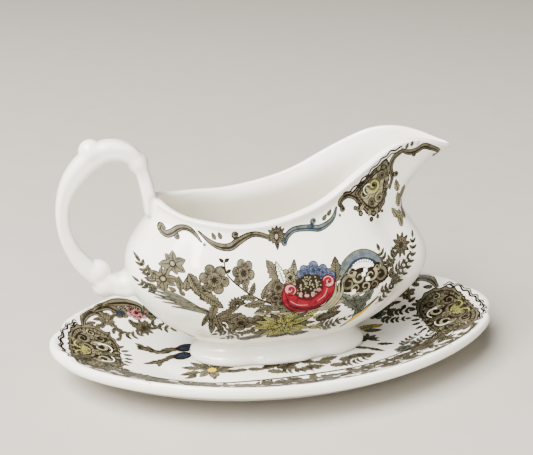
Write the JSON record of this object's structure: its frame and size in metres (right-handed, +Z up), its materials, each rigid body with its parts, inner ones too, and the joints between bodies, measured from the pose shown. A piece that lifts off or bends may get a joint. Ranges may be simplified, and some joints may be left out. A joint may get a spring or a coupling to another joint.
{
  "type": "gravy boat with stand",
  "caption": "Glazed earthenware gravy boat with a loop handle and a pouring spout, which lifts off its own oval stand with a notched rim.",
  "frame": {"origin": "on the table under the middle of the stand", "axes": "+Z up, +X from the handle to the spout along the stand's long side, +Y across"},
  "size_m": [0.2258, 0.1376, 0.1213],
  "materials": {
    "boat_glaze": "glossy clear glaze over a cream-white body with a printed floral pattern",
    "stand_glaze": "glossy clear glaze over a cream-white body with a printed floral pattern"
  },
  "bodies": {
    "stand": {"stand_dish": "stand_glaze", "stand_foot_ring": "stand_glaze"},
    "boat": {"bowl": "boat_glaze", "foot": "boat_glaze", "handle": "boat_glaze"}
  },
  "joints": [
    {"name": "boat_lift", "type": "slide", "parent": "stand", "child": "boat", "axis": [0, 0, 1], "range_m": [0, 0.08]}
  ]
}
